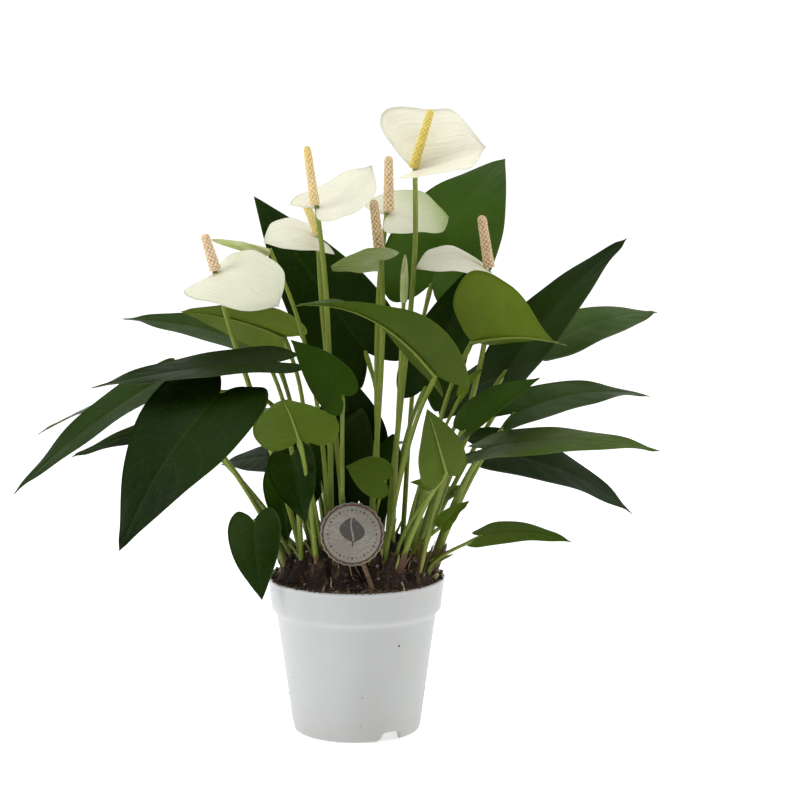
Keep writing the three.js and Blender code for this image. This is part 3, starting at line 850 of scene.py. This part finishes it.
def make_bud(name, start):
    """A rolled spathe, whose free edge winds up round it."""
    centres, thick = spindle(name, start)
    shares = even_shares(60)

    def past_edge(i, angle):
        """How far round from the free edge, from 0 to 1."""
        return (angle / math.tau - shares[i] * 0.8) % 1.0

    def radius(i, angle):
        body = math.sin(math.pi * (0.1 + 0.88 * shares[i]) ** 0.8) ** 0.75
        return thick * max(body, 0.05) * (1 + 0.13 * (past_edge(i, angle) - 0.5))

    def redness(i, angle):
        edge = past_edge(i, angle)
        return 0.5 * bell(min(edge, 1 - edge), 0.07) + 0.25 * smoothstep(0.8, 1.0, shares[i])

    s = Surface()
    s.tube([along_spline(centres, share) for share in shares], radius, 40, shade=redness)
    s.show(name + "_fine", [BUD_SKIN], "bud", name)


for index, name in enumerate(sorted(SPATHE_GREEN)):
    top = make_stalk(name + "_stalk")
    make_spathe(name, top, index)
    make_spadix(name, top)
for name in sorted(n for n in NODES if n.startswith("bud_") and not n.endswith("_stalk")):
    make_bud(name, make_stalk(name + "_stalk"))


# -------- loose bits


def lump(s, centre, size, rng, flat=1.0):
    """An irregular bit of the mix: five uneven rings of points, closed by flat ends."""
    tilt = rng.uniform(0, math.tau)
    rows = []
    for level in (-0.9, -0.45, 0.1, 0.6, 0.95):
        wide = math.sqrt(max(1 - level * level, 0.02))

        def place(angle):
            return centre + polar(size * wide * rng.uniform(0.7, 1.2), angle + tilt, level * size * flat)

        rows.append(s.circle(7, place, lambda _: rng.uniform(0, 0.6)))
    s.grid(rows, close=True)
    s.caps(rows)


# -------- pot

POT_LO, POT_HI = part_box("pot")
POT_RADIUS = (POT_HI.x - POT_LO.x) / 2
POT_TOP = POT_HI.z
FOOT_RADIUS = POT_RADIUS * 0.725
BAND = 22 * MM  # height of the wide band under the rim
SIDE_TOP_RADIUS = POT_RADIUS - 5.7 * MM
FLOOR_RISE = POT_TOP * 0.066  # from the ground to the underside of the pot's floor
SIDES = 192
GAP_ANGLES = [math.radians(a) for a in (-57, 63, 183)]
GAP_HALF_WIDTH = 8 * MM
GAP_HEIGHT = 6.3 * MM
# The pot's outline, as mm in from a radius and mm up from a level.
LIP = ((2.4, -1.2), (2.3, -0.35), (1.7, 0), (0.5, 0), (0, -0.5), (0, -1.5), (0.45, -2.1), (0.6, -4))
BAND_FOOT = ((2.3, 3), (2.65, 0.8), (3.1, 0.1), (4.8, -1.6), (5.8, -3.4), (6.1, -5))
SIDE = ((9.4, 55), (12.9, 30), (16.1, 6))
FOOT_RING = ((0.05, 3.2), (0.35, 1.6), (1.0, 0.5), (1.8, 0), (3.4, 0))
UNDERSIDE = (FOOT_RADIUS - 3.4 * MM, 30 * MM, 13 * MM, 9 * MM, 0.5 * MM)


def pot_profile():
    """(radius, height) pairs from the inner lip, over it, down the outside and in under the floor."""
    parts = (
        (LIP, POT_RADIUS, POT_TOP),
        (BAND_FOOT, POT_RADIUS, POT_TOP - BAND),
        (SIDE, POT_RADIUS, 0),
        (FOOT_RING, FOOT_RADIUS, 0),
    )
    corners = [(r - inward * MM, z + up * MM) for part, r, z in parts for inward, up in part]
    fine = []
    for (r0, z0), (r1, z1) in zip(corners, corners[1:]):
        pieces = max(1, math.ceil(math.hypot(r1 - r0, z1 - z0) / (3 * MM)))
        fine += [(r0 + (r1 - r0) * k / pieces, z0 + (z1 - z0) * k / pieces) for k in range(pieces)]
    return fine + corners[-1:] + [(radius, FLOOR_RISE) for radius in UNDERSIDE]


def gap_lift(angle, radius):
    """How high a drain gap lifts the foot ring's edge here."""
    lift = 0.0
    for gap in GAP_ANGLES:
        off = abs((angle - gap + math.pi) % math.tau - math.pi) * radius
        if off < GAP_HALF_WIDTH:
            lift = max(lift, GAP_HEIGHT * (1 - (off / GAP_HALF_WIDTH) ** 4) ** 0.5)
    return lift


def make_pot():
    s = Surface()
    rows = []
    for radius, z in pot_profile():

        def place(angle):
            wobble = 0.12 * MM * noise.noise(Vector((math.cos(angle) * 2, math.sin(angle) * 2, z * 30)))
            own = radius + (wobble if 3 * MM < z < POT_TOP - 3 * MM else 0)
            return polar(own, angle, max(z, gap_lift(angle, radius)))

        rows.append(s.circle(SIDES, place))
    s.grid(rows, close=True, flip=True)
    inside = ((POT_RADIUS - 2.4 * MM, POT_TOP - 1.2 * MM), (POT_RADIUS - 2.5 * MM, POT_TOP - 5 * MM))
    s.grid([s.circle(SIDES, lambda angle: polar(radius, angle, z)) for radius, z in inside], close=True)
    s.show("pot_fine", [PLASTIC], "pot_plastic", "pot")


def make_specks():
    """Bits of mix stuck to the side of the pot."""
    s = Surface()
    rng = random.Random(12)
    for _ in range(34):
        angle = rng.uniform(0, math.tau)
        z = rng.uniform(8, 82) * MM
        radius = FOOT_RADIUS + (z / (POT_TOP - BAND)) * (SIDE_TOP_RADIUS - FOOT_RADIUS)
        lump(s, polar(radius, angle, z), rng.choice((0.25, 0.35, 0.45, 0.8)) * MM, rng)
    s.show("dirt_specks", [CRUMB], "potting_mix")


make_pot()
make_specks()


# -------- potting mix

SOIL_EDGE_Z = POT_TOP - 3.5 * MM
SOIL_RADIUS = POT_RADIUS - 2.6 * MM
MOUND = SOIL_HI.z - SOIL_EDGE_Z
FEET = [centres[0] for centres, _ in stems]  # the mix rises round each of them


def soil_height(x, y):
    radius = min(math.hypot(x, y) / SOIL_RADIUS, 1.0)
    base = SOIL_EDGE_Z + MOUND * (1 - radius * radius)
    near = max(bell(math.hypot(x - foot.x, y - foot.y), 8.5 * MM) for foot in FEET)
    base += 26 * MM * near * (1 - radius**5)
    lumps = noise.fractal(Vector((x, y, 0)) * 120, 0.8, 2.0, 4)
    crumbs = noise.noise(Vector((x, y, 0.3)) * 520)
    return base + lumps * 1.7 * MM + crumbs * 0.7 * MM


def on_mix(x, y, lift=0.0):
    """A point over (x, y), lift above the surface of the mix."""
    return Vector((x, y, soil_height(x, y) + lift))


def make_soil():
    s = Surface()
    rows = []
    for inward in even_shares(64):
        radius = SOIL_RADIUS * (1 - inward) + 0.01 * MM

        def place(angle):
            return on_mix(radius * math.cos(angle), radius * math.sin(angle))

        def paleness(angle):
            return smoothstep(0.15, 0.5, noise.noise(polar(radius, angle, 0.9) * 300)) * 0.5

        rows.append(s.circle(200, place, paleness))
    skirt = [s.point(s.verts[k] - Vector((0, 0, 6 * MM))) for k in rows[0]]
    s.grid([skirt] + rows, close=True)
    s.show("potting_mix_fine", [PEAT], "potting_mix", "potting_mix")


def scatter(s, rng, count, area, reach, sizes, rise, flat):
    """Bits of uneven size all over the mix. area is a span of shares of its surface, from the middle."""
    for _ in range(count):
        angle = rng.uniform(0, math.tau)
        radius = SOIL_RADIUS * math.sqrt(rng.uniform(*area)) * reach
        size = rng.uniform(*sizes) * MM
        spot = on_mix(radius * math.cos(angle), radius * math.sin(angle), size * rise)
        lump(s, spot, size, rng, flat)


def make_crumbs():
    s = Surface()
    rng = random.Random(21)
    scatter(s, rng, count=900, area=(0.02, 1.0), reach=0.985, sizes=(0.5, 1.7), rise=0.25, flat=0.8)
    for _ in range(130):  # on the rim, most of them at the front
        angle = math.radians(rng.gauss(-90, 55))
        radius = POT_RADIUS - rng.uniform(0.4, 3.4) * MM
        size = rng.uniform(0.4, 1.3) * MM
        lump(s, polar(radius, angle, POT_TOP + size * 0.3), size, rng, 0.7)
    s.show("peat_crumbs", [CRUMB], "potting_mix")


def make_bits():
    s = Surface()
    rng = random.Random(33)
    scatter(s, rng, count=46, area=(0.05, 0.93), reach=1.0, sizes=(0.5, 1.3), rise=0.5, flat=0.9)
    s.show("perlite_bits", [PERLITE], "potting_mix")


def make_roots():
    """Thin pale roots that wander over the mix and dip into it at both ends."""
    s = Surface()
    rng = random.Random(44)
    for _ in range(60):
        angle = rng.uniform(0, math.tau)
        radius = SOIL_RADIUS * rng.uniform(0.3, 0.9)
        heading = rng.uniform(0, math.tau)
        x, y = radius * math.cos(angle), radius * math.sin(angle)
        points = []
        for k in range(9):
            bend = math.sin(math.pi * k / 8)
            points.append(on_mix(x, y, (bend * rng.uniform(1.0, 2.2) - 0.6) * MM))
            heading += rng.uniform(-0.5, 0.5)
            x += math.cos(heading) * 1.5 * MM
            y += math.sin(heading) * 1.5 * MM
            if math.hypot(x, y) > SOIL_RADIUS * 0.97:
                break
        if len(points) > 3:
            thick = rng.uniform(0.3, 0.75) * MM
            s.tube(points, [thick * (1 - 0.6 * k / len(points)) for k in range(len(points))], 6)
    s.show("surface_roots", [ROOT], "potting_mix")


make_soil()
make_crumbs()
make_bits()
make_roots()


# -------- sheaths and shoots round the stems' feet


def sheath(s, centres, radii, height, opening, turn, flare, slot):
    """A papery scale that wraps part of the way round a stem and ends in a point."""
    steps, sides = 12, 9
    span = sum((b - a).length for a, b in zip(centres, centres[1:]))
    cores, rows = [], []
    for i in range(steps + 1):
        up = i / steps
        share = min((5 * MM + up * height) / span, 1.0)
        here = along_spline(centres, share)
        onward = (along_spline(centres, min(share + 0.03, 1.0)) - here).normalized()
        across = (Vector((math.cos(turn), math.sin(turn), 0)) - onward * 0.1).normalized()
        across = (across - onward * across.dot(onward)).normalized()
        beside = onward.cross(across)
        radius = radii[0] * (1.35 - 0.2 * up) + flare * up**3
        wrap = opening * (1 - up) ** 0.6 + 0.05
        row = []
        for j in range(sides):
            angle = wrap * (j / (sides - 1) * 2 - 1)
            off = across * math.cos(angle) + beside * math.sin(angle)
            crinkle = 0.12 * MM * math.sin(j * 2.4 + i * 1.3)
            row.append(s.point(here + off * (radius + crinkle), (up, j / sides, 0), up * 0.3))
        cores.append(here)
        rows.append(row)
    s.grid(rows, slot)
    inner = []
    for core, row in zip(cores, rows):
        inward = [(core - s.verts[k]).normalized() * SHEATH_THICK for k in row]
        inner.append([s.point(s.verts[k] + step, s.lie[k], s.shade[k]) for k, step in zip(row, inward)])
    s.grid(inner, slot, flip=True)
    for edge, flip in ((0, False), (-1, True)):
        s.grid([[o[edge], k[edge]] for o, k in zip(rows, inner)], slot, flip=flip)


def make_sheaths():
    rng = random.Random(55)
    s = Surface()
    looks = [SHEATH, RED_BRACT, PALE_SHEATH, OLD_SHEATH]
    how_often = (0, 0, 0, 3, 3, 1, 2)  # numbers of looks, the common ones more than once
    for centres, radii in stems:
        for _ in range(5):
            height = rng.uniform(14, 42) * MM
            opening = rng.uniform(0.9, 1.7)
            turn = rng.uniform(0, math.tau)
            flare = rng.uniform(0.2, 3.4) * MM
            sheath(s, centres, radii, height, opening, turn, flare, rng.choice(how_often))
    s.show("dry_sheaths", looks, "stalk")


def make_shoots():
    """Rolled young leaves that have just come up between the stems."""
    rng = random.Random(66)
    s = Surface()
    for _ in range(46):
        one, other = rng.sample(FEET, 2)
        start = (one * 0.72 + other * 0.28) if (one - other).length < 50 * MM else one * 0.85
        outward = Vector((start.x, start.y, 0)) * 0.5
        height = rng.uniform(16, 84) * MM
        points, radii = [], []
        for i in range(14):
            up = i / 13
            lean = outward * (up**1.6) + Vector((rng.uniform(-1, 1), rng.uniform(-1, 1), 0)) * 0.15 * MM
            points.append(Vector((start.x, start.y, SOIL_EDGE_Z)) + lean + Vector((0, 0, height * up)))
            radii.append(1.5 * MM * (1 - 0.25 * up) * math.sqrt(max(1 - up**4, 0.004)))
        s.tube(points, radii, 10, 0, shade=lambda i, _: 0.6 * smoothstep(4, 0, i))
    s.show("young_shoots", [PETIOLE], "stalk")


# How far along the midrib each line across a small blade starts, and where it ends at the margin:
# along the blade, and out from the midrib as a share of the width.
SMALL_BLADE = (
    (0.05, -0.1, 0.18), (0.12, -0.12, 0.36), (0.25, 0.1, 0.49),
    (0.42, 0.34, 0.46), (0.62, 0.58, 0.34), (0.82, 0.8, 0.17),
)
# Young leaves low among the stems, in mm: foot, neck, tip, the way the upper side looks, width, painted
# light.
SMALL_LEAVES = [
    ((30, -12), (57, -26, 144), (76, -32, 163), (-0.4, -0.8, 0.4), 13, 0.7),
    ((24, -24), (52, -40, 172), (36, -46, 178), (0.0, -0.7, 0.7), 11, 1.0),
    ((36, 4), (70, -22, 232), (84, -34, 252), (-0.5, -0.7, 0.4), 10, 1.0),
    ((4, 30), (10, 52, 160), (16, 74, 178), (0.0, 0.5, 0.85), 22, 0.5),
    ((-22, 26), (-36, 44, 150), (-52, 62, 160), (-0.2, 0.4, 0.9), 20, 0.6),
    ((40, 18), (58, 34, 150), (78, 50, 158), (0.3, 0.2, 0.9), 20, 0.6),
]
# Older leaves that hang in the shade between the stems, listed in the same way; their low light values are
# painted shade.
SHADE_LEAVES = [
    ((-26, -18), (-42, -38, 194), (-32, -54, 152), (-0.2, -0.95, 0.2), 34, 0.2),
    ((-20, 20), (-36, 18, 202), (-40, 12, 134), (0.1, -1, 0.1), 44, 0.15),
    ((-4, 24), (-10, 24, 206), (-8, 16, 132), (0, -1, 0.1), 42, 0.1),
    ((12, 26), (15, 24, 190), (12, 16, 126), (-0.1, -1, 0.1), 32, 0.2),
    ((-30, 8), (-50, 2, 176), (-46, -8, 128), (-0.2, -1, 0.2), 26, 0.3),
]


def make_small_leaf(name, foot, neck, tip, face, width, light, sides, slot):
    rng = random.Random(name)
    start = Vector((*foot, 0)) * MM + Vector((0, 0, SOIL_EDGE_Z))
    neck, tip = Vector(neck) * MM, Vector(tip) * MM
    along = tip - neck
    length = along.length
    along.normalize()
    up = Vector(face)
    up = (up - along * up.dot(along)).normalized()
    side = along.cross(up)

    def place(x, y):
        arch = length * 0.3 * x * (1 - x) + width * MM * 0.25 * abs(y)
        return neck + along * length * x + side * width * MM * y + up * arch

    rows = []
    for rib, back, out in SMALL_BLADE:
        halfway = (rib + back) / 2
        line = ((back, -out), (halfway, -out / 2), (rib, 0), (halfway, out / 2), (back, out))
        rows.append([place(x, y) for x, y in line])
    grid, normals = fine_blade(rows, neck, tip, 26, 7)
    shape_blade(grid, normals, length, rng, 0.02, 0.08 * MM)
    s = Surface()
    # light is painted light and shade, the same on both sides of the blade
    add_blade(s, grid, normals, HALF_THICK * 0.8, (light, light), (0, 1))
    bow = Vector((start.x - neck.x, start.y - neck.y, 0)) * 0.25
    stem = [start.lerp(neck, k / 6) + bow * math.sin(math.pi * k / 6) for k in range(7)]
    add_petiole(s, stem, [1.5 * MM - 0.08 * MM * k for k in range(7)], grid, normals, rng)
    s.show(name, [*sides, PETIOLE], slot)


for kind, leaves, sides, slot in (
    ("small", SMALL_LEAVES, (YOUNG_UPPER, YOUNG_UNDER), "young_leaf"),
    ("shade", SHADE_LEAVES, (DARK_UPPER, DARK_UNDER), "mature_leaf"),
):
    for index, values in enumerate(leaves, 1):
        make_small_leaf(f"{kind}_leaf_{index}", *values, sides, slot)
make_sheaths()
make_shoots()


# -------- label

LABEL_LO, LABEL_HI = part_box("label_disc")
LABEL_MIDDLE = (LABEL_LO + LABEL_HI) / 2
LABEL_RADIUS = (LABEL_HI.x - LABEL_LO.x) / 2
LABEL_THICK = 1.2 * MM
LEAN = math.atan2(LABEL_HI.y - LABEL_LO.y - LABEL_THICK, LABEL_HI.z - LABEL_LO.z)
SCALLOPS = 24
PRINT_DEPTH = LABEL_THICK / 2 + 0.06 * MM


def label_place(x, y, depth):
    """A point of the label: x to the right, y up its face, depth in front of its middle."""
    ahead = Vector((0, -math.cos(LEAN), math.sin(LEAN)))
    upward = Vector((0, math.sin(LEAN), math.cos(LEAN)))
    return LABEL_MIDDLE + Vector((x, 0, 0)) + upward * y + ahead * depth


def label_polar(radius, angle, depth):
    return label_place(radius * math.cos(angle), radius * math.sin(angle), depth)


def label_outline(share, angle):
    """The scalloped edge, share of the way out."""
    scallop = 0.7 * MM * (0.5 - 0.5 * math.cos(SCALLOPS * angle)) ** 0.6
    return (LABEL_RADIUS - scallop) * share


def make_label():
    s = Surface()
    half = LABEL_THICK / 2
    face = ((0.02, 0), (0.5, 0), (0.97, 0), (0.995, 0.15), (1.0, 0.35))  # share of the way out, mm back
    layers = [(share, half - back * MM) for share, back in face]
    layers += [(share, -depth) for share, depth in reversed(layers)]
    rows = []
    for share, depth in layers:
        rows.append(s.circle(SCALLOPS * 8, lambda a: label_polar(label_outline(share, a), a, depth)))
    s.grid(rows, close=True)
    s.caps(rows)
    s.show("label_disc_fine", [CARD], "label_card", "label_disc")


def print_ring():
    """A copper ring round the edge."""
    s = Surface()
    rows = []
    for angle in once_round(SCALLOPS * 8):
        radii = (LABEL_RADIUS * 0.875, label_outline(0.965, angle))
        rows.append([s.point(label_polar(radius, angle, PRINT_DEPTH)) for radius in radii])
    s.grid(rows + rows[:1])
    s.show("label_ring", [COPPER_PRINT], "label_card")


def print_dots(s):
    """A ring of dots, every third one larger."""
    for k, around in enumerate(once_round(36)):
        centre = label_polar(LABEL_RADIUS * 0.75, around, PRINT_DEPTH) - LABEL_MIDDLE
        size = (0.8 if k % 3 == 0 else 0.5) * MM
        s.faces.append(s.circle(10, lambda a: centre + label_polar(size, a, 0)))
        s.slots.append(0)


def print_leaf(s):
    """Two halves of a leaf on either side of a bent, bare midrib, and its stalk."""
    length, width, gap = LABEL_RADIUS * 0.92, LABEL_RADIUS * 0.36, 0.5 * MM
    spine = [(0.1 * width * math.sin(t / 10 * math.pi), length * (t / 20 - 0.42)) for t in range(21)]
    for side in (-1, 1):
        rows = []
        for t, (x, y) in enumerate(spine[3:]):
            wide = width * math.sin(math.pi * (t / 17) ** 0.75) ** 0.9 + 0.02 * MM
            ends = ((x + side * gap, y), (x + side * (gap + wide), y + 0.12 * wide))
            rows.append([s.point(label_place(*end, PRINT_DEPTH)) for end in ends])
        s.grid(rows, flip=side < 0)
    rows = []
    for k, (x, y) in enumerate(spine[:5]):
        (ax, ay), (bx, by) = spine[max(k - 1, 0)], spine[min(k + 1, 4)]
        span = math.hypot(bx - ax, by - ay)
        ox, oy = -(by - ay) / span * gap, (bx - ax) / span * gap
        rows.append([s.point(label_place(x + n * ox, y + n * oy, PRINT_DEPTH)) for n in (1, -1)])
    s.grid(rows)


def print_motif():
    s = Surface()
    print_dots(s)
    print_leaf(s)
    s.show("label_motif", [DARK_PRINT], "label_card")


def make_pick():
    """The pick with rounded edges and ends, along the longest, middle and shortest way of its node."""
    s = Surface()
    shape = welded("label_pick")
    corners = np.array([tuple(v.co) for v in shape.verts])
    shape.free()
    centre = corners.mean(axis=0)
    _, _, axes = np.linalg.svd(corners - centre, full_matrices=False)
    half = [np.abs((corners - centre) @ axis).max() for axis in axes]
    long, wide, thin = (Vector(axis) for axis in axes)
    steps = 24
    rows = []
    for i in range(steps + 1):
        share = i / steps * 2 - 1
        end = max((1 - abs(share) ** 14) ** 0.5, 0.02)

        def place(angle):
            c, d = math.cos(angle), math.sin(angle)
            across = math.copysign(abs(c) ** 0.35, c) * half[1] * end
            deep = math.copysign(abs(d) ** 0.35, d) * half[2]
            return Vector(centre) + long * share * half[0] + wide * across + thin * deep

        rows.append(s.circle(16, place))
    s.grid(rows, close=True)
    s.caps(rows)
    s.show("label_pick_fine", [PICK], "label_pick", "label_pick")


make_label()
print_ring()
print_motif()
make_pick()


# -------- studio


FRONT_WHITE = 0.16  # how bright the studio is on the viewer's side
BACK_WHITE = 1.0  # and behind the plant
SEEN_WHITE = 1.05  # and as the camera sees it


def make_floor():
    s = Surface()
    steps = range(-12, 13)
    s.grid([[s.point(Vector((x, y, -0.5 * MM))) for x in steps] for y in steps])
    s.make("floor", [floor_material()], smooth=False)


def make_world():
    """A white studio: bright behind and beside the plant, dimmer on the side of the viewer."""
    world = bpy.data.worlds.new("studio")
    scene.world = world
    world.use_nodes = True
    tree = world.node_tree
    background = tree.nodes["Background"]
    background.inputs["Color"].default_value = (1, 1, 1, 1)
    coordinates = tree.nodes.new("ShaderNodeTexCoord")
    split = tree.nodes.new("ShaderNodeSeparateXYZ")
    ramp = tree.nodes.new("ShaderNodeMapRange")
    for socket, value in zip(ramp.inputs[1:5], (-0.6, 0.5, FRONT_WHITE, BACK_WHITE)):
        socket.default_value = value
    seen = tree.nodes.new("ShaderNodeLightPath")
    strength = tree.nodes.new("ShaderNodeMix")
    strength.data_type = "FLOAT"
    strength.inputs[3].default_value = SEEN_WHITE
    tree.links.new(coordinates.outputs["Generated"], split.inputs[0])
    tree.links.new(split.outputs[1], ramp.inputs[0])
    tree.links.new(seen.outputs["Is Camera Ray"], strength.inputs[0])
    tree.links.new(ramp.outputs[0], strength.inputs[2])
    tree.links.new(strength.outputs[0], background.inputs["Strength"])


def area_light(name, place, aim, size, power):
    data = bpy.data.lights.new(name, "AREA")
    data.shape = "RECTANGLE"
    data.size, data.size_y = size
    data.energy = power
    light = bpy.data.objects.new(name, data)
    light.location = place
    light.rotation_euler = (Vector(aim) - Vector(place)).to_track_quat("-Z", "Y").to_euler()
    scene.collection.objects.link(light)


def make_camera():
    data = bpy.data.cameras.new("camera")
    data.lens = 121.95
    data.sensor_width = 36
    camera = bpy.data.objects.new("camera", data)
    camera.location = (0.0296, -1.8, 0.4975)
    camera.rotation_euler = (math.radians(81.41), 0, 0)
    scene.collection.objects.link(camera)
    scene.camera = camera


make_floor()
make_world()
area_light("left_softbox", (-1.3, -0.5, 0.9), (0, 0, 0.25), (0.9, 1.2), 12)
area_light("right_softbox", (1.4, 0.1, 0.8), (0, 0, 0.25), (0.9, 1.2), 8)
area_light("top_softbox", (0, -0.5, 1.7), (0, 0, 0.3), (1.2, 1.0), 9)
make_camera()
